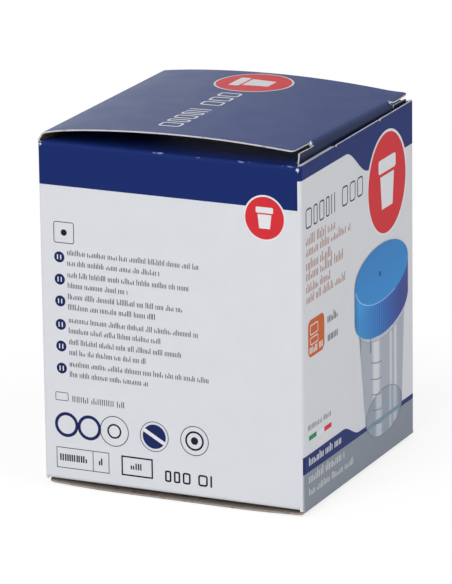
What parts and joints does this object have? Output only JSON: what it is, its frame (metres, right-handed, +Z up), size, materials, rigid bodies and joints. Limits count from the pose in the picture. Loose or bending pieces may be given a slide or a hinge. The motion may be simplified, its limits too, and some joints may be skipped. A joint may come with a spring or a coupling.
{
  "type": "folding carton with specimen container",
  "caption": "Near-cubic tuck-end folding carton with a sprung lid, holding a clear graduated specimen cup with a ribbed blue screw cap.",
  "frame": {"origin": "on the floor under the middle of the carton, at the bottom centre of its bounding box", "axes": "+Z up, front panel facing -Y, lid hinged at the rear (+Y), screw cap's axis parallel to Z"},
  "size_m": [0.0646, 0.0642, 0.0844],
  "materials": {
    "board": "satin",
    "clear_plastic": "gloss",
    "cap_plastic": "satin"
  },
  "bodies": {
    "carton": {"carton_body": "board", "cup": "clear_plastic"},
    "lid": {"lid": "board"},
    "bottom": {"bottom_flap": "board"},
    "cap": {"screw_cap": "cap_plastic"}
  },
  "joints": [
    {"name": "lid_fold", "type": "hinge", "parent": "carton", "child": "lid", "pos_m": [0, 0.0321, 0.081], "axis": [-1, 0, 0], "range_deg": [0, 180]},
    {"name": "bottom_fold", "type": "hinge", "parent": "carton", "child": "bottom", "pos_m": [0, -0.0321, 0.001], "axis": [-1, 0, 0], "range_deg": [0, 180]},
    {"name": "cap_thread", "type": "hinge", "parent": "carton", "child": "cap", "pos_m": [0, 0.00063, 0.0748], "axis": [0, 0, 1], "range_deg": [0, 450]}
  ]
}
